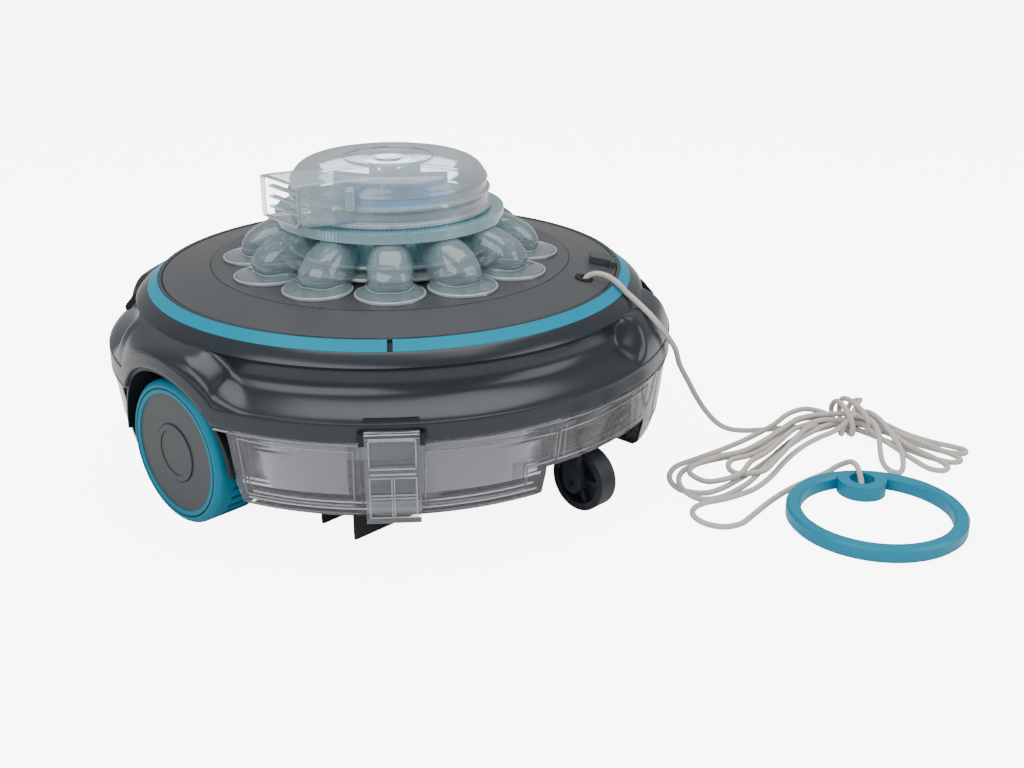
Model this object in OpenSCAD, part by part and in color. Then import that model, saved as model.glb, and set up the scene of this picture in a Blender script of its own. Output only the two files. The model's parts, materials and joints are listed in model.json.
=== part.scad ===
// Round cordless pool cleaner: a dome housing over a clear debris tray, two road wheels and two
// casters, a turning water-jet head on a crown of ducts, and a recovery rope with a pull ring.
// Millimetres, +Z up, floor at z = 0, front latch towards -Y.

/* [Body] */
// Outer radius of the housing lip
lip_r = 199.2; // [199:0.1:200]
// Height of the lip's lower edge, where the clear tray begins
lip_z = 82.3; // [82:0.1:83]
// Height of the flat centre plate
plate_z = 141.4; // [141.4:0.1:142]
// Radius of the seam between the centre plate and the deck
plate_r = 126.5; // [124:0.5:128]
// Outer radius of the sloping deck
deck_r = 159.6; // [159:0.1:159.8]
// Wall thickness of the clear mouldings
clear_wall = 2.2; // [1.8:0.1:2.6]

/* [Running gear] */
// Direction of the wheel axle, in degrees from the front latch
wheel_azimuth = 48; // [46:0.5:50]
// Radius of a road wheel over its tyre
wheel_r = 48.5; // [47:0.5:49]
// Width of a tyre
tyre_w = 36; // [30:1:37]
// Distance from the centre to a wheel's outer face
wheel_face = 190.5; // [189:0.5:191]
// Radius of a caster wheel
caster_r = 21.5; // [20:0.5:22]
// Width of a caster wheel
caster_w = 14; // [12:1:15]
// Distance from the centre to a caster's axle
caster_reach = 177; // [175:1:178]

/* [Jet head] */
// Largest radius of the turning head
head_r = 71.5; // [71:0.1:72]
// Number of ducts in the crown
duct_count = 12; // [8:1:12]
// Direction of the jet outlet, in degrees from the front latch
outlet_azimuth = 76.5; // [0:0.5:90]

/* [Rope] */
// Diameter of the recovery rope
rope_d = 4; // [3:0.5:4]
// Outer radius of the pull ring
ring_r = 58.5; // [56:0.5:60]

/* [Hidden] */
$fn = 120;
cut = 1;                      // how far a cutter passes a face
run_fit = 0.05;               // radial clearance of a pin that turns in a bore
arch_r = 59;                  // radius of the wheel arch about the axle
arch_t = 10;                  // height of the brow over the arch
chassis_z = 84.2;             // underside of the chassis plate
screw_ring = 188.4;           // distance from the centre to the housing screws
screw_r = 2;
tub_r = arch_r - 0.1;         // outside of the wheel tub
tub_wall = 2.4;
tub_n = 146;                  // distance from the centre to the tub's inner wall
tray_z = 28;                  // underside of the tray
notch_n = tub_n - 0.4;        // inner wall of the tray's wheel notch
notch_f = tub_r + 0.3;        // half width of the tray's wheel notch
bay_f = 150;                  // inner wall of the caster bay
bay_n = 61;                   // from the caster bay's middle to its outer end
bay_near = 42;                  // and to the end beside the latch
bay_z = 50;                   // ceiling of the caster bay
basket_z = 61;                // underside of the filter basket
deck_slope = 0.19;            // fall of the deck per millimetre outwards
deck_tilt = atan(deck_slope);
slot_f = 99;                  // middle of a suction slot, along the travel direction
slot_w = 18;
slot_l = 256;
lip_gap = 16;                 // from the slot's middle to a rubber lip
lip_l = 276;
lip_floor = 8;                // height of a rubber lip's free edge above the floor
flap_f = 112;                 // hinge line of an inlet flap
flap_z = 37;
flap_pin_r = 1.5;
latch_w = 33;
latch_pin_y = 202;            // distance from the centre to a latch's hinge pin
latch_pin_z = 88;
latch_pin_r = 1.6;
axle_r = 6;
caster_pin_r = 3;
caster_n = -9;                // middle of a caster wheel, along the axle direction
tower_r = 62;
duct_r = 53;                  // outside of the pump duct
tower_top = 177.5;
head_z = 178.4;               // underside of the turning head
shaft_r = 3;
motor_r = 27.8;
button_r = 6.5;
hole_azimuth = 66.5;          // where the rope leaves the deck
hole_r = 142.9;
cap_azimuth = 84;             // where the charging socket sits
cap_hinge_r = 156.5;
socket_r = 146;               // distance from the centre to the charging socket
button_reach = 143;           // distance from the centre to the power button
ring_x = 313.5;               // centre of the pull ring on the floor
ring_y = -162;
ring_w = 9.6;
ring_h = 10;
eye_r = 16.5;                 // outside of the ring's rope eye
eye_hole_r = 8.5;
eye_reach = 44;
eye_turn = 84.6;
lead_route = [[131, -57, 136], [134, -57, 139.5], [139, -58, 141.5], [146, -60, 140.5],
    [153, -61, 138], [160, -62, 132.5], [166, -63, 127.5], [173, -63, 119], [179, -62, 110.5],
    [185, -61, 103], [192.5, -60, 95.5], [198, -51, 80], [203, -45, 68], [211, -37, 53],
    [219, -28, 38], [229, -20, 22], [240, -14, 9], [250, -13, 3.5], [260, -14, 2.3],
    [270, -13, 2.1], [281, -10.5, 2.1]];
tail_route = [[231, -122, 2], [220, -127, 2], [208, -132, 2], [199, -141, 2], [197, -151, 2],
    [203, -161, 2], [213, -165, 2], [224, -161, 2], [234, -151, 2], [245, -138, 2],
    [256, -126, 2], [270, -114, 2.1], [286, -102, 2.3], [300, -94, 3.3], [309, -91, 7],
    [316, -95, 11.5], [318, -103, 12.6], [318, -111, 10], [318, -116, 5.5]];

// ---- shared shapes ----

function deck_height(r) = plate_z - 0.2 - (r - plate_r) * deck_slope;

module tube(ro, ri, z0, z1) {
    translate([0, 0, z0]) difference() {
        cylinder(r = ro, h = z1 - z0);
        translate([0, 0, -cut]) cylinder(r = ri, h = z1 - z0 + 2 * cut);
    }
}

// Local +X is the travel direction, local -Y points out along the axle, +Z is up.
module travel_frame() {
    rotate([0, 0, -wheel_azimuth]) children();
}

// Local +Z points out along the axle at the given height, +Y is up.
module axle_frame(height) {
    travel_frame() rotate([90, 0, 0]) translate([0, height, 0]) children();
}

// The same thing again, half a turn round.
module both_sides() {
    for (turn = [0, 180]) rotate([0, 0, turn]) children();
}

// A point on the deck: local +Z is the deck's normal, local -Y points outwards.
module on_deck(azimuth, r) {
    rotate([0, 0, azimuth]) translate([0, -r, deck_height(r)]) rotate([deck_tilt, 0, 0])
        children();
}

// ---- housing ----

module housing_section() {
    polygon([[160.3, 135.2], [162.9, 135.1], [161.9, 133.6], [168.5, 128], [170, 129.5],
        [174.5, 126.2], [178.5, 122.2], [177.2, 116.5], [177.4, 111.5], [179.2, 107.2],
        [182.8, 104], [188, 101.2], [193.5, 98.2], [198.4, 94.9], [lip_r, 94],
        [lip_r, lip_z], [196.4, lip_z], [196.2, 92.4], [191.5, 95.6], [186.5, 98.3],
        [180.8, 101.4], [176.6, 105], [174.4, 110.5], [174.2, 117], [175, 121.2],
        [172, 123.8], [168, 125.2], [163, 128], [153, 128], [153, 130.5], [160.3, 130.5]]);
}

module wheel_brow() {
    intersection() {
        axle_frame(wheel_r) difference() {
            translate([0, 0, 150]) cylinder(r = arch_r + arch_t, h = 60);
            translate([0, 0, 149]) cylinder(r = arch_r, h = 62);
        }
        union() {
            tube(lip_r, 196.2, lip_z, 125);
            tube(198, 172, chassis_z + 3, 125);
        }
    }
}

module latch_lugs() {
    for (side = [-1, 1]) translate([side * 19 - 2.2, -latch_pin_y - 2.6, latch_pin_z - 4])
        difference() {
            cube([4.4, 8.2, 8]);
            translate([-cut, 2.6, 4]) rotate([0, 90, 0]) cylinder(r = latch_pin_r, h = 8);
        }
}

module upper_housing() {
    color("#4a4f54") difference() {
        union() {
            rotate_extrude() housing_section();
            both_sides() wheel_brow();
            both_sides() latch_lugs();
            at_screws() translate([0, 0, chassis_z + 3]) cylinder(r = 4.5, h = 8.3);
        }
        at_screws() cylinder(r = screw_r, h = 94);
        both_sides() axle_frame(wheel_r) translate([0, 0, tub_n]) cylinder(r = arch_r, h = 70);
        both_sides() translate([-16.8, -210, lip_z - cut]) cube([33.6, 14.5, 18.6]);
    }
}

module deck_ring() {
    color("#6c6f72") difference() {
        rotate_extrude() polygon([[122, 138.9], [plate_r + 0.2, 138.9],
            [plate_r + 0.2, deck_height(plate_r + 0.2)], [deck_r, deck_height(deck_r)],
            [deck_r, 130.5], [157, 130.5], [157, 132.8], [127, 136.4], [122, 136.4]]);
        on_deck(hole_azimuth, hole_r) cylinder(r = 4.6, h = 20, center = true);
        on_deck(cap_azimuth, socket_r) cylinder(r = 5.6, h = 24, center = true);
        on_deck(180, button_reach) cylinder(r = button_r + 0.4, h = 24, center = true);
    }
    color("#6c6f72") on_deck(cap_azimuth, cap_hinge_r) for (side = [-1, 1])
        translate([side * 8.4 - 1, -2.2, -1]) difference() {
            cube([2, 4.4, 5.4]);
            translate([-cut, 2.2, 3.4]) rotate([0, 90, 0]) cylinder(r = 1 + run_fit, h = 4);
        }
}

module centre_plate() {
    color("#6c6f72") tube(plate_r - 0.2, 56, 138.9, plate_z);
}

module trim_arc(first, sweep) {
    color("#2bb5dc") rotate([0, 0, first]) rotate_extrude(angle = sweep)
        polygon([[163.2, 135.2], [170, 129.6], [168.6, 128.1], [162, 133.7]]);
}

module trim_arc_left() trim_arc(90.6, 178.8);
module trim_arc_right() trim_arc(-89.4, 178.8);

module chassis() {
    color("#2a2d30") difference() {
        union() {
            translate([0, 0, chassis_z]) cylinder(r = 196.2, h = 3);
            both_sides() intersection() {
                axle_frame(wheel_r) translate([0, 0, tub_n]) cylinder(r = tub_r, h = 60);
                tube(196.9, 100, 31, 120);
            }
        }
        both_sides() axle_frame(wheel_r) {
            translate([0, 0, tub_n + tub_wall]) cylinder(r = tub_r - tub_wall, h = 60);
            translate([-80, -80, tub_n + tub_wall]) cube([160, 80, 60]);
            translate([0, 0, tub_n - 5]) cylinder(r = axle_r, h = 20);
        }
        cylinder(r = duct_r, h = 200);
        both_sides() translate([-16.8, -210, lip_z - cut]) cube([33.6, 14.5, 20]);
        at_screws() cylinder(r = screw_r + run_fit, h = 200);
    }
}

module at_screws() {
    both_sides() for (turn = [-15, 15, 75, 100]) rotate([0, 0, turn])
        translate([0, -screw_ring, 0]) children();
}

module housing_screws() {
    color("silver") at_screws() translate([0, 0, chassis_z - 2.4]) {
        cylinder(r = 4, h = 2.4);
        cylinder(r = screw_r, h = 12);
    }
}

module side_hook() {
    color("#24282c") translate([0, -177.4, 0]) rotate([90, 0, -90])
        linear_extrude(5, center = true)
            polygon([[0, 111], [0, 119], [4, 118.5], [12.5, 108.5], [12, 105], [9, 105.5],
                [5, 111]]);
}

module side_hook_left() rotate([0, 0, -90]) side_hook();
module side_hook_right() rotate([0, 0, 90]) side_hook();

// ---- debris tray ----

module tray_form(inset) {
    difference() {
        rotate_extrude() polygon([[0, tray_z + inset], [186 - inset, tray_z + inset],
            [190 - inset, tray_z + 3 + inset], [193.5 - inset, 45], [196.5 - inset, 70],
            [198 - inset, 79], [198 - inset, lip_z + inset], [0, lip_z + inset]]);
        both_sides() travel_frame() {
            translate([-notch_f - inset, -220, 0])
                cube([2 * (notch_f + inset), 220 - notch_n + inset, 100]);
            translate([bay_f - inset, -bay_near - inset, 0])
                cube([80, bay_n + bay_near + 2 * inset, bay_z + inset]);
        }
    }
}

module tray() {
    color("#c8ccd4", 0.45) difference() {
        union() {
            difference() {
                tray_form(0);
                tray_form(clear_wall);
            }
            travel_frame() for (x = [-60, 60]) for (y = [-110, 110]) translate([x, y, tray_z + 1])
                cylinder(r = 5, h = basket_z - tray_z - 1);
        }
        both_sides() travel_frame() translate([slot_f - slot_w / 2, -slot_l / 2, tray_z - cut])
            cube([slot_w, slot_l, 10]);
    }
}

module tray_gasket() {
    color("#24282c") difference() {
        tube(196.2, 192.5, lip_z, chassis_z);
        both_sides() axle_frame(wheel_r) translate([0, 0, tub_n]) cylinder(r = tub_r, h = 70);
        both_sides() translate([-16.8, -210, lip_z - cut]) cube([33.6, 15, 17]);
    }
}

module basket_form(inset, z0, z1) {
    intersection() {
        translate([0, 0, z0]) cylinder(r = 176 - inset, h = z1 - z0);
        travel_frame() translate([-200, -138 + inset, z0])
            cube([400, 276 - 2 * inset, z1 - z0]);
    }
}

module filter_basket() {
    color("#c9cbcc") difference() {
        basket_form(0, basket_z, basket_z + 20);
        basket_form(2, basket_z + 2, basket_z + 21);
        intersection() {
            basket_form(8, basket_z - 1, basket_z + 3);
            travel_frame() for (x = [-4 : 4]) for (y = [-3 : 3])
                translate([x * 38 - 17, y * 38 - 17, basket_z - 1]) cube([34, 34, 5]);
        }
    }
}

module filter_mesh() {
    color("#dcdddd") difference() {
        basket_form(2.3, basket_z + 2, basket_z + 3);
        cylinder(r = duct_r, h = 100);
    }
}

module side_screens() {
    // start and sweep, in degrees from the front latch, then heights of the foot and the top
    color("#c6c8ca") both_sides() for (panel = [[-27, 18.5, 40, 77], [5, 18, 40, 75.5],
        [23, 8, 55, 74], [32, 28, 53, 75], [66, 44, 40, 76]])
        rotate([0, 0, panel[0] - 90]) rotate_extrude(angle = panel[1])
            translate([186.6, panel[2]]) square([1.6, panel[3] - panel[2]]);
}

module inlet_frame() {
    color("#24282c") travel_frame() difference() {
        union() {
            translate([slot_f - 11, -slot_l / 2 - 8, tray_z + clear_wall])
                cube([22, slot_l + 16, 4]);
            for (end = [-1, 1]) translate([flap_f - 4, end * 134.5 - 1.9, tray_z + clear_wall])
                cube([8, 3.8, 11]);
        }
        translate([slot_f - slot_w / 2, -slot_l / 2 + 2, tray_z]) cube([slot_w, slot_l - 4, 10]);
        translate([flap_f, 140, flap_z]) rotate([90, 0, 0]) cylinder(r = flap_pin_r, h = 280);
    }
}

module inlet_frame_front() inlet_frame();
module inlet_frame_rear() rotate([0, 0, 180]) inlet_frame();

module inlet_flap() {
    color("#3b4046") travel_frame() difference() {
        union() {
            translate([slot_f - 12, -131, tray_z + clear_wall + 4.5]) cube([24.6, 262, 1.6]);
            translate([flap_f, 131, flap_z]) rotate([90, 0, 0]) cylinder(r = 2.7, h = 262);
        }
        translate([flap_f, 140, flap_z]) rotate([90, 0, 0])
            cylinder(r = flap_pin_r + run_fit, h = 280);
    }
}

module flap_front() inlet_flap();
module flap_rear() rotate([0, 0, 180]) inlet_flap();

module flap_pins() {
    color("silver") both_sides() travel_frame() translate([flap_f, 136.4, flap_z])
        rotate([90, 0, 0]) cylinder(r = flap_pin_r, h = 272.8);
}

module rubber_lips() {
    color("#1d242b") travel_frame() for (side = [-1, 1])
        translate([slot_f + side * lip_gap - 1.1, -lip_l / 2, lip_floor])
            cube([2.2, lip_l, tray_z - lip_floor]);
}

module rubber_lips_front() rubber_lips();
module rubber_lips_rear() rotate([0, 0, 180]) rubber_lips();

// ---- latches ----

module latch() {
    color("#d3d8dc", 0.5) difference() {
        union() {
            translate([-latch_w / 2, 0, 0]) rotate([90, 0, 90]) linear_extrude(latch_w)
                polygon([[-latch_pin_y - 3.4, 88], [-latch_pin_y - 3.4, 36],
                    [-latch_pin_y - 1, 31.5], [-194, 30.5], [-191.6, 32], [-191.6, 34],
                    [-196, 35], [-198.4, 44], [-199, 60], [-199.4, 74],
                    [-199.6, 80], [-latch_pin_y + 3.2, 85]]);
            translate([-latch_w / 2, -latch_pin_y, latch_pin_z]) rotate([0, 90, 0])
                cylinder(r = 3.6, h = latch_w);
        }
        translate([-latch_w / 2 - cut, -latch_pin_y, latch_pin_z]) rotate([0, 90, 0])
            cylinder(r = latch_pin_r + run_fit, h = latch_w + 2 * cut);
        for (side = [-1, 1]) for (z = [37, 51.2])
            translate([side * 7 - 6, -latch_pin_y - 5, z]) cube([12, 2.6, 11.2]);
        translate([-14.2, -latch_pin_y - 5, 70.6]) cube([28.4, 2.6, 12.4]);
    }
}

module latch_front() latch();
module latch_rear() rotate([0, 0, 180]) latch();

module latch_pins() {
    color("silver") both_sides() translate([-21.2, -latch_pin_y, latch_pin_z])
        rotate([0, 90, 0]) cylinder(r = latch_pin_r, h = 42.4);
}

// ---- road wheels ----

module tyre() {
    color("#1f9cb5") axle_frame(wheel_r) translate([0, 0, wheel_face - tyre_w]) difference() {
        rotate_extrude() polygon([[39.5, 0], [46, 0], [wheel_r, 2], [wheel_r, 32.5], [47, 35],
            [45.2, tyre_w], [39.5, tyre_w]]);
        tube(43.6, 42.6, tyre_w - 0.8, tyre_w + cut);
        for (turn = [0 : 10 : 350]) rotate([0, 0, turn])
            translate([wheel_r - 2, -1.2, -cut]) cube([4, 2.4, 19]);
    }
}

module hub() {
    color("#5d6266") axle_frame(wheel_r) translate([0, 0, wheel_face - tyre_w]) difference() {
        union() {
            tube(39.5, 36.5, 0, tyre_w - 1.5);
            tube(39.5, 19.2, tyre_w - 4, tyre_w - 1);
            cylinder(r = 13, h = tyre_w - 7);
            for (turn = [0 : 60 : 300]) rotate([0, 0, turn])
                translate([10, -1.2, 4]) cube([28, 2.4, tyre_w - 7]);
            tube(21.5, 19.2, tyre_w - 9, tyre_w - 3);
        }
        translate([0, 0, -cut]) cylinder(r = axle_r + run_fit, h = 60);
        translate([0, 0, tyre_w - 9]) cylinder(r = 19.2, h = 12);
    }
}

module hub_cap() {
    color("#5d6266") axle_frame(wheel_r) translate([0, 0, wheel_face - tyre_w]) {
        union() {
            translate([0, 0, tyre_w - 3.6]) cylinder(r = 19.2, h = 2.8);
            tube(19.2, 15.6, tyre_w - 1, tyre_w - 0.2);
        }
    }
}

module tyre_left() tyre();
module tyre_right() rotate([0, 0, 180]) tyre();
module hub_left() hub();
module hub_right() rotate([0, 0, 180]) hub();
module hub_cap_left() hub_cap();
module hub_cap_right() rotate([0, 0, 180]) hub_cap();

module wheel_axles() {
    color("silver") both_sides() axle_frame(wheel_r) {
        translate([0, 0, tub_n]) cylinder(r = axle_r, h = wheel_face - 7.2 - tub_n);
        translate([0, 0, tub_n + tub_wall]) cylinder(r = 9, h = 2.6);
    }
}

module axle_retainers() {
    color("silver") both_sides() axle_frame(wheel_r) translate([0, 0, wheel_face - 7.2]) {
        cylinder(r = 10, h = 1.6);
        cylinder(r = 4, h = 3, $fn = 6);
    }
}

// ---- casters ----

module caster_wheel() {
    color("#1d242b") axle_frame(caster_r) translate([caster_reach, 0, caster_n - caster_w / 2])
        difference() {
            union() {
                tube(caster_r, caster_r - 5, 0, caster_w);
                cylinder(r = 7, h = caster_w);
                for (turn = [0 : 72 : 288]) rotate([0, 0, turn])
                    translate([5, -1.5, 2]) cube([13, 3, caster_w - 4]);
                translate([0, 0, caster_w / 2 - 1]) cylinder(r = caster_r - 3, h = 2);
            }
            translate([0, 0, -cut]) cylinder(r = caster_pin_r + run_fit, h = 40);
        }
}

module caster_wheel_front() caster_wheel();
module caster_wheel_rear() rotate([0, 0, 180]) caster_wheel();

module caster_arms() {
    color("#2a2f34") both_sides() axle_frame(caster_r) translate([caster_reach, 0, -1])
        difference() {
            union() {
                cylinder(r = 7.5, h = 5);
                rotate([0, 0, 8]) translate([-7.5, 0, 0]) cube([15, 24, 5]);
                translate([-13, bay_z - caster_r - 4, 0]) cube([22, 4, 5]);
            }
            translate([0, 0, -cut]) cylinder(r = caster_pin_r, h = 4.5);
            translate([0, 0, 3]) cylinder(r = 2.6, h = 4, $fn = 6);
            translate([-30, bay_z - caster_r, -cut]) cube([60, 20, 10]);
        }
}

module caster_pins() {
    color("silver") both_sides() axle_frame(caster_r)
        translate([caster_reach, 0, caster_n - caster_w / 2 - 1.6]) {
            cylinder(r = caster_pin_r, h = 19);
            cylinder(r = 4.6, h = 1);
        }
}

// ---- pump, crown and jet head ----

module duct_form(inset) {
    intersection() {
        rotate([90, 0, 90]) translate([0, 0, -16 + inset]) linear_extrude(32 - 2 * inset)
            polygon([[-61, plate_z - cut], [-61, 168 - inset], [-66, 170 - inset],
                [-73, 170.3 - inset], [-82, 168 - inset], [-91 + inset / 2, 162.5 - inset],
                [-98 + inset, 154], [-102 + inset, 146], [-103 + inset, plate_z - cut]]);
        translate([0, 0, plate_z - cut]) linear_extrude(40) union() {
            translate([-16 + inset, -87]) square([32 - 2 * inset, 40]);
            translate([0, -87]) circle(r = 16 - inset);
        }
    }
}

module duct_crown() {
    color("#b9d4dc", 0.55) difference() {
        union() {
            for (k = [0 : duct_count - 1]) rotate([0, 0, k * 360 / duct_count]) {
                duct_form(0);
                translate([0, -95, plate_z]) cylinder(r = 23.2, h = 2);
            }
            tube(84, tower_r, plate_z, plate_z + 3);
            tube(tower_r + 6, tower_r, 152, 154);
        }
        for (k = [0 : duct_count - 1]) rotate([0, 0, k * 360 / duct_count]) duct_form(1.8);
        cylinder(r = tower_r + 0.05, h = 200);
        cylinder(r = 130, h = plate_z);
    }
}

module pump_tower() {
    color("#cfe4ea", 0.5) {
        tube(tower_r, 60, plate_z, tower_top);
        tube(80, tower_r - 1, 171, tower_top);
    }
}

module pump_duct() {
    color("#2b9fbe") {
        tube(duct_r, duct_r - 3, 65, 166);
        tube(31, motor_r, 96, 99);
        for (turn = [0 : 60 : 300]) rotate([0, 0, turn])
            translate([motor_r + 0.1, -1.5, 96]) cube([duct_r - motor_r - 1.5, 3, 42]);
    }
}

module motor_can() {
    color("#b9bcbe") {
        tube(motor_r, 8, 99, 150);
        tube(motor_r - 3, 8, 96, 100);
    }
}

module motor_bearing() {
    color("silver") tube(8, shaft_r + run_fit, 143, 150);
}

module shaft_seal() {
    color("#24282c") tube(9, shaft_r + 0.1, 150, 154);
}

module motor_shaft() {
    color("silver") translate([0, 0, 100]) cylinder(r = shaft_r, h = 103);
}

module impeller() {
    color("#1b8fc4") difference() {
        union() {
            translate([0, 0, 183.5]) cylinder(r = 43, h = 2.2);
            translate([0, 0, 183.5]) cylinder(r = 13, h = 15);
            for (turn = [0 : 51.43 : 350]) rotate([0, 0, turn]) translate([10, 4, 183.5])
                cube([31, 2, 16]);
        }
        translate([0, 0, 180]) cylinder(r = shaft_r, h = 40);
    }
}

module impeller_nut() {
    color("silver") difference() {
        translate([0, 0, 198.5]) cylinder(r = 6, h = 5.5, $fn = 6);
        translate([0, 0, 190]) cylinder(r = shaft_r, h = 13);
    }
}

module head_bearing() {
    color("#e4e6e6") tube(60, 56, 168, 177.5);
}

module outlet_form(inset, z0, z1) {
    rotate([0, 0, -outlet_azimuth]) rotate([0, 0, -90]) translate([0, 0, z0])
        linear_extrude(z1 - z0) polygon([[10, 16 + inset], [89 + 8 * inset, 16 + inset],
            [72 + 8 * inset, 58 - inset], [10, 58 - inset]]);
}

module head_form(inset) {
    rotate_extrude() polygon([[0, head_z + inset], [head_r - 1.5 - inset, head_z + inset],
        [head_r - inset, head_z + 1.6 + inset], [head_r - inset, 189.5 - inset / 2],
        [69 - inset, 192 - inset], [69 - inset, 196 - inset / 2], [66.5 - inset, 199 - inset],
        [65.5 - inset, 203.5 - inset], [60 - inset / 2, 209.5 - inset],
        [54, 212 - inset], [31.5, 213.4 - inset], [31, 211.4 - inset], [0, 211.4 - inset]]);
    outlet_form(inset, 180.7 + inset, 210.6 - inset);
}

module nozzle_head() {
    color("#dfe4e6", 0.45) difference() {
        union() {
            head_form(0);
            translate([0, 0, 168]) cylinder(r = 55.9, h = head_z - 167);
        }
        head_form(1.8);
        translate([0, 0, 167]) cylinder(r = 53.5, h = 20);
    }
}

module outlet_grille() {
    color("#eef0f0", 0.6) intersection() {
        for (z = [187, 194, 201]) translate([-120, -120, z]) cube([240, 240, 1.6]);
        outlet_form(1.85, 182, 209);
        rotate([0, 0, -outlet_azimuth - 90]) translate([85, 12, 180]) rotate([0, 0, 22])
            cube([3.4, 60, 30]);
    }
}

module head_clip() {
    color("#e8e8e6") rotate([0, 0, -outlet_azimuth - 90]) translate([40, 61.3, 0]) {
        translate([0, 0, 192]) cylinder(r = 3.2, h = 13);
        translate([0, 0, 205]) cylinder(r = 2.2, h = 1.6);
    }
}

// ---- dry bay ----

module battery_case() {
    color("#2f3336") travel_frame() difference() {
        translate([68, -46, chassis_z + 3]) cube([66, 92, 42]);
        translate([70, -44, chassis_z + 5]) cube([62, 88, 38]);
    }
}

module battery_cells() {
    color("#3e78b8") travel_frame() for (x = [81, 101, 121]) for (z = [98.5, 117.1])
        translate([x, 35, z]) rotate([90, 0, 0]) cylinder(r = 9.1, h = 70);
}

module circuit_board() {
    color("#1f6b3a") travel_frame() {
        translate([-132, -42, 92]) cube([62, 84, 1.6]);
        translate([-122, -30, 93.6]) cube([16, 20, 9]);
        translate([-96, 4, 93.6]) cube([18, 18, 3]);
        for (x = [-128, -74]) for (y = [-38, 38]) translate([x, y, chassis_z + 3])
            cylinder(r = 2.5, h = 4.8);
    }
}

module charge_socket() {
    color("#24282c") on_deck(cap_azimuth, socket_r) difference() {
        translate([0, 0, -16]) cylinder(r = 5.6, h = 15.8);
        translate([0, 0, -12]) cylinder(r = 2.8, h = 20);
    }
}

module charge_cap() {
    color("#54585c") on_deck(cap_azimuth, cap_hinge_r) difference() {
        union() {
            translate([-7, 1, 0.3]) cube([14, 15, 4.5]);
            translate([-7, 0, 2.4]) rotate([0, 90, 0]) cylinder(r = 2, h = 14);
            translate([-9.3, 0, 2.4]) rotate([0, 90, 0]) cylinder(r = 1, h = 18.6);
        }
        translate([-5.5, 2.5, -cut]) cube([11, 12, 3.6]);
    }
}

module power_button() {
    color("#2bb5dc") on_deck(180, button_reach) translate([0, 0, -5])
        cylinder(r = button_r, h = 6.6);
}

// ---- recovery rope ----

module rope_grommet() {
    color("#24282c") on_deck(hole_azimuth, hole_r) {
        tube(4.6, 2.6, -6, 0.06);
        tube(6.2, 2.6, 0.06, 1);
    }
}

// Catmull-Rom curve through a route, two steps to a span.
function pick(route, i) = route[max(0, min(len(route) - 1, i))];
function on_curve(a, b, c, d, t) = 0.5 * (2 * b + (c - a) * t + (2 * a - 5 * b + 4 * c - d) * t * t
    + (3 * b - a - 3 * c + d) * t * t * t);
function curve(route) = [for (i = [0 : len(route) - 2]) for (t = [0, 0.5])
    on_curve(pick(route, i - 1), route[i], route[i + 1], pick(route, i + 2), t),
    route[len(route) - 1]];
function unit(v) = v / norm(v);
function heading(path, i) = unit(pick(path, i + 1) - pick(path, i - 1));

module rope(route) {
    path = curve(route);
    sides = 8;
    rings = len(path);
    points = [for (i = [0 : rings - 1]) let (along = heading(path, i),
        across = unit(cross(along, [0, 0, 1])), up = cross(across, along))
        for (k = [0 : sides - 1]) path[i] + rope_d / 2 * (cos(k * 360 / sides) * across
            + sin(k * 360 / sides) * up)];
    walls = [for (i = [0 : rings - 2]) for (k = [0 : sides - 1])
        [i * sides + k, i * sides + (k + 1) % sides, (i + 1) * sides + (k + 1) % sides,
            (i + 1) * sides + k]];
    near_end = [[for (k = [sides - 1 : -1 : 0]) k]];
    far_end = [[for (k = [0 : sides - 1]) (rings - 1) * sides + k]];
    color("#d8d2cb") polyhedron(points, concat(walls, near_end, far_end));
}

module rope_lead() rope(lead_route);
module rope_tail() rope(tail_route);

module rope_hank() {
    color("#d8d2cb") {
        linear_extrude(10) {
            hull() {
                translate([219, -97]) circle(r = 27, $fn = 32);
                translate([292, -30]) circle(r = 22, $fn = 32);
            }
            hull() {
                translate([292, -30]) circle(r = 22, $fn = 32);
                translate([334, -19]) circle(r = 12, $fn = 32);
            }
            hull() {
                translate([334, -19]) circle(r = 12, $fn = 32);
                translate([390, -66]) circle(r = 27, $fn = 32);
            }
        }
        translate([335, -19, 0]) cylinder(r = 15, h = 24);
    }
}

module pull_ring() {
    color("#1fa3c4") translate([ring_x, ring_y, 0]) difference() {
        union() {
            rotate_extrude() translate([ring_r - ring_w, 0]) polygon([[1.5, 0],
                [ring_w - 1.5, 0], [ring_w, 1.5], [ring_w, ring_h - 1.5],
                [ring_w - 1.5, ring_h], [1.5, ring_h], [0, ring_h - 1.5], [0, 1.5]]);
            intersection() {
                rotate([0, 0, eye_turn]) translate([eye_reach, 0, 0])
                    cylinder(r = eye_r, h = ring_h);
                cylinder(r = ring_r - 1.5, h = ring_h);
            }
        }
        rotate([0, 0, eye_turn]) translate([eye_reach, 0, -cut])
            cylinder(r = eye_hole_r, h = ring_h + 2 * cut);
    }
}

upper_housing();
deck_ring();
centre_plate();
trim_arc_left();
trim_arc_right();
chassis();
housing_screws();
tray();
tray_gasket();
filter_basket();
filter_mesh();
side_screens();
inlet_frame_front();
inlet_frame_rear();
flap_front();
flap_rear();
flap_pins();
rubber_lips_front();
rubber_lips_rear();
side_hook_left();
side_hook_right();
latch_front();
latch_rear();
latch_pins();
tyre_left();
hub_left();
hub_cap_left();
tyre_right();
hub_right();
hub_cap_right();
wheel_axles();
axle_retainers();
caster_wheel_front();
caster_wheel_rear();
caster_arms();
caster_pins();
duct_crown();
pump_tower();
pump_duct();
motor_can();
motor_bearing();
shaft_seal();
motor_shaft();
impeller();
impeller_nut();
head_bearing();
nozzle_head();
outlet_grille();
head_clip();
battery_case();
battery_cells();
circuit_board();
charge_socket();
charge_cap();
power_button();
rope_grommet();
rope_lead();
rope_hank();
rope_tail();
pull_ring();
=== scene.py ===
import json
import math

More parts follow.
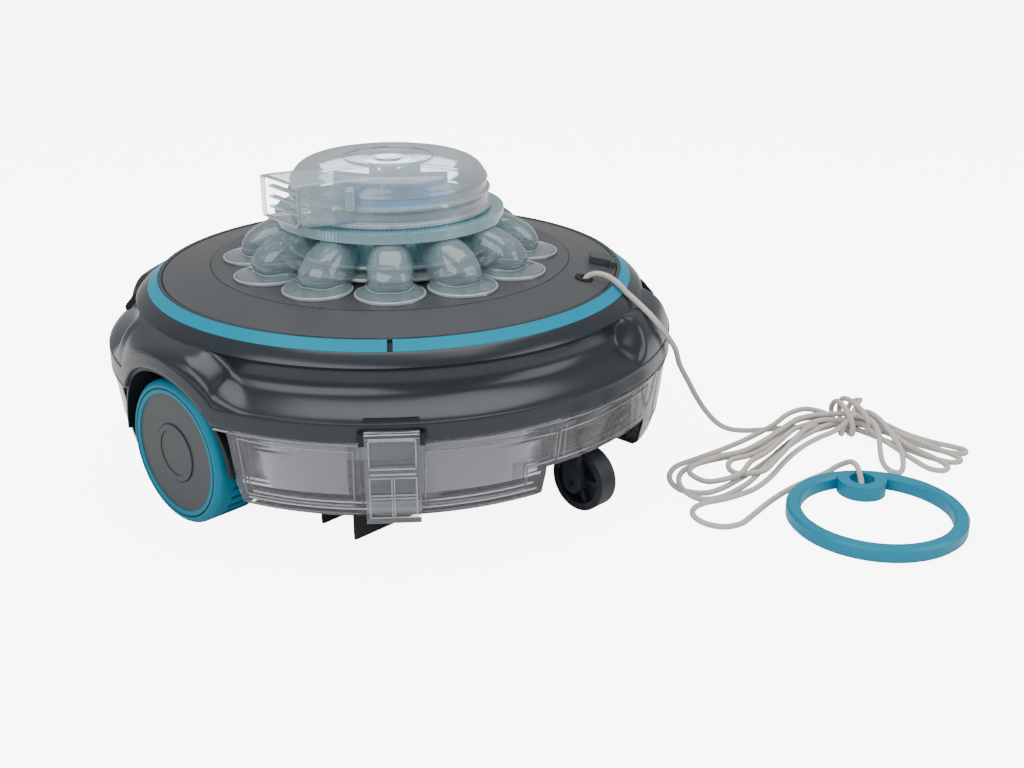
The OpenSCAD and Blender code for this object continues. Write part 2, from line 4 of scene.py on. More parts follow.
import bmesh
import bpy
from mathutils import Euler, Vector
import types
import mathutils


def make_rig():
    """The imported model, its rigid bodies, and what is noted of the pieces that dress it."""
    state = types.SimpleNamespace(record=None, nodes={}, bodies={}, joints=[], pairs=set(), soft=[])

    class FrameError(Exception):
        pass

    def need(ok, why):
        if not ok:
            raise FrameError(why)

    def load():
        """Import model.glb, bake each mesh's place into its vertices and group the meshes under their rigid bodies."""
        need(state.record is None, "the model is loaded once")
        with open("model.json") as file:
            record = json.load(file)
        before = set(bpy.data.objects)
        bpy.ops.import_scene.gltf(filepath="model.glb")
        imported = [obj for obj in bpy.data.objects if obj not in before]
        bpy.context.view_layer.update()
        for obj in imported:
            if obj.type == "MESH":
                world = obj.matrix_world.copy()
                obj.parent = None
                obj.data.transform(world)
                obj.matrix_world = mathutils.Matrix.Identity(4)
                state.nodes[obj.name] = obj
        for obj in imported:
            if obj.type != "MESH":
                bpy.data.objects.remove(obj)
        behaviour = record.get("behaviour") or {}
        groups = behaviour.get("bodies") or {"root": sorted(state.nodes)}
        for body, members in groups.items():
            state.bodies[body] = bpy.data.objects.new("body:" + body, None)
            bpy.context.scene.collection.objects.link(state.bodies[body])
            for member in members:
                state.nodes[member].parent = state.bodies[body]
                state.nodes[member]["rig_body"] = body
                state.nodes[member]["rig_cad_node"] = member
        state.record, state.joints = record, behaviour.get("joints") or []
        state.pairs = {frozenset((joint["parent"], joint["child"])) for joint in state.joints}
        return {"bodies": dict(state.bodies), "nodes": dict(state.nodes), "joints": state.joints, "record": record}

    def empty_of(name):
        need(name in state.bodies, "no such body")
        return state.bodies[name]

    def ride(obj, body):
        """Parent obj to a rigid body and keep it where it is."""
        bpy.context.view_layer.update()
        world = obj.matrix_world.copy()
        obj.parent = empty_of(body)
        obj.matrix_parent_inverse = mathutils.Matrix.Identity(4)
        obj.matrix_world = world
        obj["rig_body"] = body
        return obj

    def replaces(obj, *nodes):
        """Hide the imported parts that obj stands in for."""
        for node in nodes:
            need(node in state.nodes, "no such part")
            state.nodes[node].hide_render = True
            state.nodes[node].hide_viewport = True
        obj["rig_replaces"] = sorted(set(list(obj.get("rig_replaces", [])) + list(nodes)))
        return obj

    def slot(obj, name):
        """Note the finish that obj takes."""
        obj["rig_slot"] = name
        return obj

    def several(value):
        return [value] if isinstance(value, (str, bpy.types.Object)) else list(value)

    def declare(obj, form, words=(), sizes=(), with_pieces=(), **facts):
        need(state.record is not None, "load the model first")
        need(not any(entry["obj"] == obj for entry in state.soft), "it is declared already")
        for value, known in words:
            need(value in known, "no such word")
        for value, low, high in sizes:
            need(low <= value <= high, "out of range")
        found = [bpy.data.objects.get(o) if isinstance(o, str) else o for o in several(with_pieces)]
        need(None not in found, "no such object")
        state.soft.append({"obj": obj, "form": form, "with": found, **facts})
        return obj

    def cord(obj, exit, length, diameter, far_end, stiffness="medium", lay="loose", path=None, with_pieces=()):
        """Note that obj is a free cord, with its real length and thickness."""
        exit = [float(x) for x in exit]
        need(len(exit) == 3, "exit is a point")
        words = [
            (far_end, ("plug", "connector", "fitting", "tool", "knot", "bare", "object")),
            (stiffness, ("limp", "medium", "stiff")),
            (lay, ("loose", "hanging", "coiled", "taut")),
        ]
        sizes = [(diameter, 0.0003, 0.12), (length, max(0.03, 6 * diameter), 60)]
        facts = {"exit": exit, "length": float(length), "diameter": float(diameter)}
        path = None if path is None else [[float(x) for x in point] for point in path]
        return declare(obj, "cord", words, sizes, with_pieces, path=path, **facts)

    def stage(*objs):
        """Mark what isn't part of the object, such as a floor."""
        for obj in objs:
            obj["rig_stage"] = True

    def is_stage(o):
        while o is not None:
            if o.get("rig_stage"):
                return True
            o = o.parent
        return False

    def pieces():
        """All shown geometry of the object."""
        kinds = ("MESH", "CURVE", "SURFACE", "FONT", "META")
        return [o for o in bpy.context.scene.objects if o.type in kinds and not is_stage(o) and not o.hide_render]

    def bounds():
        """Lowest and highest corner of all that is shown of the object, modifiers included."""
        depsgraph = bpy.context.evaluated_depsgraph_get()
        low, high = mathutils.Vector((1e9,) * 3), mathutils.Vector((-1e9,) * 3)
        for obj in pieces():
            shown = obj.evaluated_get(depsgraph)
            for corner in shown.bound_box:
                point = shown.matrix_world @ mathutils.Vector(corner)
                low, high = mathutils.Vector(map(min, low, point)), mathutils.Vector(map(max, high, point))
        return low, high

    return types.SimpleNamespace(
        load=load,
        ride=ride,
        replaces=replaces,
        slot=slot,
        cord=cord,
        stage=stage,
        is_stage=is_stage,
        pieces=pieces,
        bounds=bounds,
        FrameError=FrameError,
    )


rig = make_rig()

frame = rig.load()
NODES = frame["nodes"]
lo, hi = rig.bounds()
with open("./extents.json", "w") as f:
    json.dump([list(lo), list(hi)], f)

# ---- camera ----
cam_data = bpy.data.cameras.new("camera")
cam = bpy.data.objects.new("camera", cam_data)
bpy.context.scene.collection.objects.link(cam)
bpy.context.scene.camera = cam
cam.location = (0.0164, -0.9389, 0.4105)
cam.rotation_euler = Euler((math.radians(68.5), 0, math.radians(-4.25)))
cam_data.lens = 47.74
cam_data.sensor_width = 36
cam_data.clip_start = 0.01
cam_data.clip_end = 20


MM = 0.001

# ---- recovery rope: waypoints in millimetres, from the hole in the deck to the ring's eye ----
# The lead runs down to the floor, eight half turns lie to the near and the far side of the knot, the knot
# binds them, and the tail runs on to the ring.
LEAD = [(131, -57, 136), (134, -57, 139.5), (139, -58, 141.5), (146, -60, 140.5), (153, -64.5, 136.7),
        (159, -66.5, 130.6), (163.5, -70, 127), (168.5, -75.5, 123), (174, -82, 118.4), (180, -82.5, 111.2),
        (187.5, -74.5, 100.5), (195, -62, 88), (199, -51, 79), (203, -45, 68), (211, -37, 53), (219, -28, 38),
        (229, -20, 22), (240, -14, 9), (250, -13, 3.5), (262, -14, 2.3), (278, -13, 2.2), (296, -12, 3),
        (312, -14, 4)]
LOOP_A = [(325, -13, 12), (312, -1, 13), (296, -7, 12), (279, -24, 10), (256, -42, 8), (233, -57, 6.5),
          (211, -69, 5), (197, -77, 4), (190, -89, 3), (190, -102, 2.2), (196, -113, 2.2), (210, -117, 2.2),
          (224, -110, 2.5), (238, -98, 3), (252, -84, 3), (267, -67, 3), (281, -49, 3), (296, -33, 4),
          (312, -24, 5), (325, -19, 6)]
LOOP_C = [(347, -14, 11), (357, -9, 9), (368, -15, 5), (380, -31, 3), (394, -45, 2.3), (406, -54, 2.2),
          (413, -61, 2.2), (410, -67, 2.2), (400, -64, 2.2), (384, -50, 2.2), (371, -35, 3), (358, -24, 5),
          (346, -19, 7)]
LOOP_B = [(326, -17, 10), (313, -11, 10), (299, -15, 9), (285, -33, 9), (268, -53, 8), (243, -66, 6.5),
          (220, -74, 6), (204, -84, 6), (195, -98, 6), (194, -115, 5), (203, -127, 3), (217, -125, 2.3),
          (230, -116, 2.3), (243, -104, 3), (258, -88, 6.5), (273, -69, 7), (288, -50, 7), (302, -36, 7),
          (314, -27, 8), (325, -22, 9)]
LOOP_D = [(346, -12, 7), (357, -16, 6), (367, -29, 5.5), (380, -47, 5.5), (393, -62, 4), (403, -72, 2.3),
          (402, -80, 2.2), (393, -80, 2.2), (380, -68, 2.2), (368, -51, 2.2), (357, -35, 2.6), (346, -24, 4)]
LOOP_E = [(326, -10, 8), (314, -6, 8.5), (299, -18, 12), (284, -39, 12), (269, -60, 11), (252, -73, 9.5),
          (236, -79, 8.5), (232, -89, 7), (236, -98, 7), (246, -99, 7.5), (256, -96, 8), (266, -84, 9.5),
          (280, -64, 10), (293, -44, 10), (306, -30, 11), (325, -14, 6)]
LOOP_F = [(347, -20, 13), (354, -26, 13), (361, -38, 11), (367, -52, 8), (374, -66, 6.5), (384, -78, 4.5),
          (390, -87, 2.3), (385, -94, 2.2), (376, -90, 2.2), (368, -77, 4), (361, -62, 6), (355, -46, 7),
          (350, -31, 9), (345, -22, 9)]
LOOP_G = [(326, -21, 12), (315, -22, 12), (303, -27, 11), (291, -39, 13), (277, -57, 13), (262, -75, 12),
          (248, -87, 11), (238, -101, 9), (226, -107, 7.5), (212, -109, 7), (203, -104, 9.5), (203, -95, 10),
          (212, -85, 10), (228, -76, 10.5), (246, -69, 10.5), (263, -60, 14), (279, -46, 16), (294, -30, 16),
          (309, -19, 15), (325, -17, 15)]
LOOP_H = [(346, -16, 15), (353, -20, 17), (358, -33, 16), (361, -50, 12), (362, -68, 8), (359, -84, 4),
          (353, -95, 2.3), (347, -91, 2.2), (346, -78, 3), (349, -62, 7), (353, -46, 11), (352, -33, 15),
          (344, -26, 17)]
KNOT = [(337, -29, 18), (332, -30, 11), (331, -29, 4), (333, -17, 2.2), (332, -4, 6), (331, 0, 13),
        (331, -7, 21), (332, -17, 24), (334, -28, 21), (337, -34, 13), (338, -32, 4.5), (338, -18, 2.4),
        (338, -3, 5), (338, 2, 13), (337, -5, 22), (339, -15, 25.5), (345, -25, 22), (350, -32, 14),
        (350, -29, 5), (346, -16, 2.4), (343, -2, 6), (347, 3, 15), (351, -5, 21), (346, -15, 22),
        (335, -30, 16), (326, -31, 8)]
TAIL = [(312, -35, 4), (296, -48, 3), (279, -68, 2.3), (262, -93, 2.2), (246, -112, 2.2), (231, -122, 2.2),
        (218, -128, 2.2), (206, -132, 2.2), (197, -140, 2.2), (195, -151, 2.2), (201, -162, 2.2),
        (212, -167, 2.2), (224, -163, 2.2), (234, -152, 2.2), (245, -139, 2.2), (257, -126, 2.2),
        (270, -114, 2.2), (286, -102, 2.3), (300, -94, 3.3), (309, -91, 7), (316, -95, 11.8),
        (318, -103, 12.8), (318, -111, 10.5), (318, -117, 5.5), (317.5, -119, 2.6)]
ROPE_D = 4.0        # millimetres
ROPE_LENGTH = 3.1   # metres


def through(points, steps):
    """A smooth line through the points, with that many steps from each to the next."""
    out = []
    last = len(points) - 1
    for i in range(last):
        near = [points[max(0, min(last, k))] for k in (i - 1, i, i + 1, i + 2)]
        for k in range(steps):
            t = k / steps
            out.append(tuple(0.5 * (2 * b + (c - a) * t + (2 * a - 5 * b + 4 * c - d) * t * t
                                    + (3 * b - a - 3 * c + d) * t ** 3) for a, b, c, d in zip(*near)))
    return out + [tuple(points[-1])]


WAYPOINTS = (LEAD + LOOP_A + LOOP_C + LOOP_B + LOOP_D + LOOP_E + LOOP_F + LOOP_G + LOOP_H + KNOT
             + TAIL)
route = [Vector(p) * MM for p in through(WAYPOINTS, 6)]
rope_data = bpy.data.curves.new("recovery_rope", "CURVE")
rope_data.dimensions = "3D"
spline = rope_data.splines.new("POLY")
spline.points.add(len(route) - 1)
for point, co in zip(spline.points, route):
    point.co = (*co, 1)
rope_data.bevel_depth = ROPE_D / 2 * MM
rope_data.bevel_resolution = 5
rope_data.use_fill_caps = True
rope = bpy.data.objects.new("recovery_rope", rope_data)
bpy.context.scene.collection.objects.link(rope)


# ---- materials ----
def new_material(name):
    m = bpy.data.materials.new(name)
    m.use_nodes = True
    nodes = m.node_tree.nodes
    return m, nodes, m.node_tree.links, nodes["Principled BSDF"]


def add_noise(nodes, links, scale, detail):
    """A noise texture in the piece's own space."""
    space = nodes.new("ShaderNodeTexCoord")
    noise = nodes.new("ShaderNodeTexNoise")
    noise.inputs["Scale"].default_value = scale
    noise.inputs["Detail"].default_value = detail
    links.new(space.outputs["Object"], noise.inputs["Vector"])
    return noise


def add_bump(nodes, links, height, strength, distance):
    """A bump of the surface that follows a noise texture."""
    bump = nodes.new("ShaderNodeBump")
    bump.inputs["Strength"].default_value = strength
    bump.inputs["Distance"].default_value = distance
    links.new(height.outputs["Fac"], bump.inputs["Height"])
    return bump


def add_range(nodes, links, value, to_min, to_max, from_min=0.0, from_max=1.0):
    """Maps a value from one range to another."""
    node = nodes.new("ShaderNodeMapRange")
    node.inputs["From Min"].default_value = from_min
    node.inputs["From Max"].default_value = from_max
    node.inputs["To Min"].default_value = to_min
    node.inputs["To Max"].default_value = to_max
    links.new(value, node.inputs["Value"])
    return node.outputs["Result"]


def add_math(nodes, links, operation, first, second):
    """One sum of two values."""
    node = nodes.new("ShaderNodeMath")
    node.operation = operation
    links.new(first, node.inputs[0])
    links.new(second, node.inputs[1])
    return node.outputs[0]


def add_blend(nodes, links, share):
    """A blend of two colours, A and B, by a share from 0 to 1."""
    node = nodes.new("ShaderNodeMix")
    node.data_type = "RGBA"
    links.new(share, node.inputs["Factor"])
    return node


def add_layers(nodes, links, share, under, over):
    """One shader laid over another by a share from 0 to 1."""
    node = nodes.new("ShaderNodeMixShader")
    links.new(share, node.inputs["Fac"])
    links.new(under, node.inputs[1])
    links.new(over, node.inputs[2])
    return node.outputs[0]


def plastic(name, colour, rough, mottle=0.04, bump=0.05, scale=900.0, coat=0.0, spec=0.5, metal=0.0):
    """Moulded plastic, rubber or metal: a little mottle in the colour and a fine grain in the surface."""
    m, nodes, links, bsdf = new_material(name)
    patches = add_noise(nodes, links, 18.0, 4.0)
    blend = add_blend(nodes, links, patches.outputs["Fac"])
    blend.inputs["A"].default_value = tuple(max(0, c * (1 - mottle * 2)) for c in colour) + (1,)
    blend.inputs["B"].default_value = tuple(min(1, c * (1 + mottle * 2)) for c in colour) + (1,)
    links.new(blend.outputs["Result"], bsdf.inputs["Base Color"])
    grain = add_bump(nodes, links, add_noise(nodes, links, scale, 2.0), bump, 0.0004)
    links.new(grain.outputs["Normal"], bsdf.inputs["Normal"])
    bsdf.inputs["Roughness"].default_value = rough
    bsdf.inputs["Metallic"].default_value = metal
    bsdf.inputs["Specular IOR Level"].default_value = spec
    bsdf.inputs["Coat Weight"].default_value = coat
    bsdf.inputs["Coat Roughness"].default_value = 0.06
    return m


def edge_light(nodes, links, radius, strength):
    """Light gathers at a moulding's edges, where a rounded normal parts from the true one."""
    rounded = nodes.new("ShaderNodeBevel")
    rounded.samples = 4
    rounded.inputs["Radius"].default_value = radius
    true = nodes.new("ShaderNodeNewGeometry")
    dot = nodes.new("ShaderNodeVectorMath")
    dot.operation = "DOT_PRODUCT"
    links.new(rounded.outputs["Normal"], dot.inputs[0])
    links.new(true.outputs["Normal"], dot.inputs[1])
    return add_range(nodes, links, dot.outputs["Value"], 0.0, strength, 0.985, 0.9)


def clear(name, colour, body, grazing, rough=0.12, haze=0.12, edge=0.8, edge_colour=(0.75, 0.78, 0.8),
          edge_radius=0.0009, tint=(0.93, 0.96, 0.97), turned=None):
    """Clear moulded plastic: body is its milkiness face on and grazing at the turn of a wall, where the
    colour goes over to turned, a painted shade; edges pipe light."""
    m, nodes, links, bsdf = new_material(name)
    cloud = add_noise(nodes, links, 26.0, 5.0)
    facing = nodes.new("ShaderNodeLayerWeight")
    facing.inputs["Blend"].default_value = 0.3
    milky = add_math(nodes, links, "ADD",
                     add_range(nodes, links, cloud.outputs["Fac"], -haze, haze),
                     add_range(nodes, links, facing.outputs["Facing"], body, grazing))
    bright = edge_light(nodes, links, edge_radius, edge)
    solid = nodes.new("ShaderNodeClamp")
    solid.inputs["Min"].default_value = 0.04
    solid.inputs["Max"].default_value = 0.97
    links.new(add_math(nodes, links, "MAXIMUM", bright, milky), solid.inputs["Value"])
    # painted shade and highlight: where turned is given, the colour darkens towards it as the wall turns edge on and
    # stays lighter face on
    wall = add_blend(nodes, links, facing.outputs["Facing"])
    wall.inputs["A"].default_value = colour + (1,)
    wall.inputs["B"].default_value = (turned or colour) + (1,)
    lit = add_blend(nodes, links, bright)
    links.new(wall.outputs["Result"], lit.inputs["A"])
    lit.inputs["B"].default_value = edge_colour + (1,)
    links.new(lit.outputs["Result"], bsdf.inputs["Base Color"])
    bsdf.inputs["Roughness"].default_value = rough
    open_way = nodes.new("ShaderNodeBsdfTransparent")
    open_way.inputs["Color"].default_value = tint + (1,)
    stuff = add_layers(nodes, links, solid.outputs["Result"], open_way.outputs[0], bsdf.outputs[0])
    # the surface's own shine stays, whatever passes through it
    shine = nodes.new("ShaderNodeBsdfGlossy")
    shine.inputs["Roughness"].default_value = 0.07
    shine.inputs["Color"].default_value = (1, 1, 1, 1)
    fresnel = nodes.new("ShaderNodeFresnel")
    fresnel.inputs["IOR"].default_value = 1.45
    surface = add_layers(nodes, links, fresnel.outputs[0], stuff, shine.outputs[0])
    links.new(surface, nodes["Material Output"].inputs["Surface"])
    waves = add_bump(nodes, links, cloud, 0.05, 0.002)
    for target in (bsdf, shine, fresnel):
        links.new(waves.outputs["Normal"], target.inputs["Normal"])
    return m


MAT = {
    "dome": plastic("dome", (0.013, 0.018, 0.024), 0.24, bump=0.02, spec=0.42),
    "deck": plastic("deck", (0.050, 0.054, 0.059), 0.34, bump=0.06, spec=0.32),
    "trim": plastic("trim", (0.0, 0.23, 0.36), 0.35, spec=0.1),
    "black": plastic("black", (0.006, 0.008, 0.010), 0.42, bump=0.1, spec=0.3),
    "caster": plastic("caster", (0.016, 0.020, 0.025), 0.45, bump=0.1, spec=0.35),
    "rubber": plastic("rubber", (0.008, 0.010, 0.012), 0.6, bump=0.15, spec=0.3),
    "tyre": plastic("tyre", (0.0, 0.17, 0.26), 0.5, bump=0.12, spec=0.2),
    "groove": plastic("groove", (0.012, 0.025, 0.035), 0.6, spec=0.2),
    "hub": plastic("hub", (0.048, 0.052, 0.056), 0.45, bump=0.12, spec=0.3),
    "steel": plastic("steel", (0.55, 0.56, 0.57), 0.25, metal=1.0),
    "teal": plastic("teal", (0.0, 0.50, 0.62), 0.3),
    "blue": plastic("blue", (0.0, 0.30, 0.62), 0.25, coat=0.4),
    "white": plastic("white", (0.6, 0.62, 0.62), 0.4),
    "panel": plastic("panel", (0.80, 0.80, 0.76), 0.6, mottle=0.1, spec=0.2),
    "mesh": plastic("mesh", (0.4, 0.41, 0.41), 0.7, mottle=0.1),
    "ring": plastic("ring", (0.0, 0.20, 0.32), 0.33, spec=0.3),
    "cell": plastic("cell", (0.02, 0.12, 0.4), 0.4),
    "board": plastic("board", (0.01, 0.1, 0.03), 0.5),
    "rope": plastic("rope", (0.50, 0.47, 0.44), 0.85, mottle=0.08, bump=0.8, scale=650.0),
    # ribs: real ribs of the clear latch moulding, painted paler than it as a highlight for the light their edges catch
    "ribs": clear("ribs", (0.55, 0.56, 0.54), 0.45, 0.8, haze=0.2, edge=0.1),
    # edges: real frames and ledges of the clear tray, painted paler than it as a highlight for the light they catch
    "edges": clear("edges", (0.42, 0.43, 0.43), 0.35, 0.7, haze=0.2, edge=0.1),
    "rimclear": clear("rimclear", (0.5, 0.53, 0.55), 0.4, 0.85),
    "head": clear("head", (0.52, 0.61, 0.65), 0.3, 0.85, rough=0.2, tint=(0.88, 0.97, 1.0)),
    "tower": clear("tower", (0.25, 0.50, 0.56), 0.42, 0.85, edge=0.4, tint=(0.8, 0.96, 1.0)),
    # the crown's milky teal, lightened face on into a painted highlight, with turned as painted shade at each duct's
    # edge
    "crown": clear("crown", (0.34, 0.46, 0.50), 0.30, 0.92, haze=0.1, tint=(0.88, 0.98, 1.0),
                   turned=(0.04, 0.05, 0.06)),
    "latch": clear("latch", (0.13, 0.14, 0.16), 0.3, 0.7, haze=0.05, edge=0.5,
                   edge_colour=(0.5, 0.52, 0.52), edge_radius=0.0005),
    "tray": clear("tray", (0.15, 0.155, 0.175), 0.16, 0.6, haze=0.06, edge=0.35,
                  edge_colour=(0.5, 0.52, 0.54), tint=(0.92, 0.92, 0.96)),
}

ROLE = {
    "dome": ["upper_housing"],
    "deck": ["deck_ring", "centre_plate"],
    "trim": ["trim_arc_left", "trim_arc_right", "power_button"],
    "black": ["chassis", "inlet_frame_front", "inlet_frame_rear", "side_hook_left", "side_hook_right",
              "battery_case", "charge_socket", "latch_pins"],
    "caster": ["caster_wheel_front", "caster_wheel_rear", "caster_arms"],
    "rubber": ["tray_gasket", "rubber_lips_front", "rubber_lips_rear", "shaft_seal", "rope_grommet"],
    "tyre": ["tyre_left", "tyre_right"],
    "hub": ["hub_left", "hub_cap_left", "hub_right", "hub_cap_right", "flap_front", "flap_rear",
            "charge_cap"],
    "steel": ["housing_screws", "flap_pins", "wheel_axles", "axle_retainers", "caster_pins",
              "motor_can", "motor_bearing", "motor_shaft", "impeller_nut"],
    "teal": ["pump_duct"],
    "blue": ["impeller"],
    "white": ["head_bearing"],
    "panel": ["side_screens", "filter_basket"],
    "mesh": ["filter_mesh"],
    "ring": ["pull_ring"],
    "cell": ["battery_cells"],
    "board": ["circuit_board"],
    "rope": ["rope_lead", "rope_hank", "rope_tail"],
    "head": ["nozzle_head", "outlet_grille", "head_clip"],
    "tower": ["pump_tower"],
    "latch": ["latch_front", "latch_rear"],
    "crown": ["duct_crown"],
    "tray": ["tray"],
}


def crisp(ob, degrees):
    """Smooth shading that stays crisp where faces meet at more than an angle."""
    ob.data.shade_smooth()
    split = ob.modifiers.new("split", "EDGE_SPLIT")
    split.split_angle = math.radians(degrees)
    split.use_edge_sharp = False


for role, names in ROLE.items():
    for name in names:
        NODES[name].data.materials.clear()
        NODES[name].data.materials.append(MAT[role])
        crisp(NODES[name], 32)

rope.data.materials.append(MAT["rope"])
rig.ride(rope, "root")
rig.replaces(rope, "rope_lead", "rope_hank", "rope_tail")
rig.slot(rope, "rope")
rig.cord(rope, exit=(0.1311, -0.057, 0.1385), length=ROPE_LENGTH, diameter=ROPE_D / 1000, far_end="fitting",
        stiffness="limp", lay="loose", with_pieces=[NODES["pull_ring"]])


# ---- mesh helpers ----
def mesh_object(name, verts, faces, material, body, smooth=True, split=38):
    """A mesh piece from millimetre points, riding on a body."""
    me = bpy.data.meshes.new(name)
    me.from_pydata([(x * MM, y * MM, z * MM) for x, y, z in verts], [], faces)
    bm = bmesh.new()
    bm.from_mesh(me)
    bmesh.ops.remove_doubles(bm, verts=bm.verts, dist=1e-6)
    bmesh.ops.recalc_face_normals(bm, faces=bm.faces)
    bm.to_mesh(me)
    bm.free()
    ob = bpy.data.objects.new(name, me)
    bpy.context.scene.collection.objects.link(ob)
    me.materials.append(MAT[material])
    if smooth:
        crisp(ob, split)
    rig.ride(ob, body)
    return ob


def grid_faces(rows, cols, wrap_rows=False, wrap_cols=False, at=0):
    """Quads over a rows by cols grid of points."""
    out = []
    for i in range(rows if wrap_rows else rows - 1):
        for j in range(cols if wrap_cols else cols - 1):
            a, b = i, (i + 1) % rows
            c, d = j, (j + 1) % cols
            out.append((at + a * cols + c, at + a * cols + d, at + b * cols + d, at + b * cols + c))
    return out


def lathe(profile, steps, centre=(0, 0), closed=True):
    """(verts, faces) of a profile of (r, z), closed or open, turned about an upright axis."""
    verts = []
    for k in range(steps):
        a = 2 * math.pi * k / steps
        verts += [(centre[0] + r * math.cos(a), centre[1] + r * math.sin(a), z) for r, z in profile]
    return verts, grid_faces(steps, len(profile), True, closed)


def join(parts):
    """One (verts, faces) from several."""
    verts, faces = [], []
    for v, f in parts:
        n = len(verts)
        verts += v
        faces += [tuple(i + n for i in q) for q in f]
    return verts, faces


def box_part(x0, x1, y0, y1, z0, z1):
    """(verts, faces) of a box."""
    v = [(x, y, z) for z in (z0, z1) for y in (y0, y1) for x in (x0, x1)]
    return v, [(0, 1, 3, 2), (4, 6, 7, 5), (0, 4, 5, 1), (2, 3, 7, 6), (0, 2, 6, 4), (1, 5, 7, 3)]


def turn(part, degrees):
    """The same (verts, faces) turned about the robot's own upright axis."""
    c, s = math.cos(math.radians(degrees)), math.sin(math.radians(degrees))
    v, f = part
    return [(x * c - y * s, x * s + y * c, z) for x, y, z in v], f


def smooth_step(x):
    """0 up to 0, 1 from 1 on, with a soft rise between them."""
    x = max(0.0, min(1.0, x))
    return x * x * (3 - 2 * x)


def off_by(azimuth, base):
    """How far an azimuth is from a base one, in degrees from -180 to 180."""
    return (azimuth - base + 180) % 360 - 180


def polar(azimuth, r, z):
    """A point at an azimuth from the front latch, in degrees, counted towards +X."""
    a = math.radians(azimuth)
    return (r * math.sin(a), -r * math.cos(a), z)


# ---- upper housing: one upright outline (radius, height) for each azimuth ----
GROOVE = [(198.4, 94.9), (196.6, 96.4), (193.5, 98.2), (188, 101.0), (183.6, 103.6), (180.4, 106.2),
          (178.3, 109.4), (177.3, 113), (177.2, 117), (177.6, 120), (178.5, 122.2)]
ABOVE = [(177.9, 123.0), (176.6, 124.4), (174.5, 126.2), (172.2, 127.9), (170.6, 129.1), (170.0, 129.4),
         (169.2, 128.9), (168.6, 128.1), (161.9, 133.6), (162.9, 134.7), (162.7, 135.1), (160.5, 135.2),
         (160.2, 134.9), (160.2, 131)]
INSIDE = [(160.4, 128.2), (168, 125.2), (172.5, 123), (173.8, 117), (174, 110), (176.4, 104.6),
          (181, 100.9), (187, 98), (193.5, 94.2), (195.6, 92)]
WHEEL_AZ = (-48, 132)          # azimuths of the left and right road wheels
AXLE_Z = 48.5                  # height of their axles
ARCH, BROW = 59.0, 69.5        # radii about an axle of the wheel's arch and of the swelling over it
LIP_R, LIP_Z = 199.2, 82.3     # the lip's radius and its lower edge
LIP_IN = 196.2                 # and the radius of the wall's inner face there
FOOT_Z, TOP_Z = 94.9, 122.2    # the groove's lower and upper edges
FULL_R, FULL_OUT = 178.5, 19.9     # the full wall's radius at its top, and how much wider its foot is


def arch_height(azimuth, radius):
    """Height of the circle of that radius about the nearer axle, on the lip's cylinder, or 0."""
    best = 0.0
    for w in WHEEL_AZ:
        d = off_by(azimuth, w)
        f = LIP_R * math.sin(math.radians(d))
        if abs(d) < 60 and abs(f) < radius:
            best = AXLE_Z + math.sqrt(radius * radius - f * f)
    return best


def open_share(azimuth, s):
    """1 where the wall is hollowed into the long groove or the hook recess, 0 where it is full."""
    best = 0.0
    for base in (0, 180):
        a = off_by(azimuth, base)
        lean = 1 - s
        for start, end, rise, fall in ((-48 + 14 * lean, 61 - 3 * lean, 11, 5), (78, 115, 5, 9)):
            x = a if a > -100 else a + 360
            up = smooth_step((x - start) / rise)
            down = smooth_step((end - x) / fall)
            best = max(best, min(up, down))
    return best


def wall_height(wall, radius):
    """Height at which the outer wall, followed from the lip upwards, first comes in to a radius."""
    for (r0, z0), (r1, z1) in zip(wall, wall[1:]):
        if r1 <= radius <= r0:
            return z0 + (z1 - z0) * (r0 - radius) / max(1e-6, r0 - r1)
    return 122.0 if radius < 180 else FOOT_Z


def housing_column(azimuth):
    """The housing's closed outline at one azimuth: lip, outer wall, shoulder, and back down inside."""
    low = max(LIP_Z, arch_height(azimuth, ARCH))
    line = max(FOOT_Z, arch_height(azimuth, BROW))
    if line > FOOT_Z:
        line = FOOT_Z + (line - FOOT_Z) * smooth_step((line - FOOT_Z) / 4.0)
        line = max(line, low + 3.0)
    points = [(LIP_IN, low), (LIP_R - 1.2, low), (LIP_R - 0.35, low + 0.35), (LIP_R, low + 1.2)]
    for k in range(1, 5):
        points.append((LIP_R, low + 1.2 + (line - 1.1 - low - 1.2) * k / 5))
    points += [(LIP_R, line - 0.9), (LIP_R - 0.25, line - 0.3)]
    wall = []
    for k, (r, z) in enumerate(GROOVE_LINE):
        s = k / (len(GROOVE_LINE) - 1)
        groove_z = line + (z - FOOT_Z) * (TOP_Z - line) / (TOP_Z - FOOT_Z)
        q = math.pi / 2 * s
        full_r = FULL_R + FULL_OUT * math.cos(q) ** 0.9 if s < 1 else FULL_R
        full_z = line + (TOP_Z - line) * math.sin(q) ** 1.15
        share = open_share(azimuth, s)
        wall.append((full_r + (r - full_r) * share, full_z + (groove_z - full_z) * share))
    points += wall + ABOVE
    for r, z in INSIDE:
        if r > 172:
            z = min(max(z, min(low + 2, 121.0)), wall_height(wall, r) - 1.3)
        points.append((r, z))
    points.append((LIP_IN, max(low + 0.6, min(92.0, low + 6))))
    return points


GROOVE_LINE = through(GROOVE, 3)
STEPS = 720
columns = [housing_column(k * 360 / STEPS) for k in range(STEPS)]
verts = [polar(k * 360 / STEPS, r, z) for k in range(STEPS) for r, z in columns[k]]
housing = mesh_object("housing_shell", verts, grid_faces(STEPS, len(columns[0]), True, True), "dome", "root",
                      split=30)
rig.replaces(housing, "upper_housing")
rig.slot(housing, "housing_plastic")


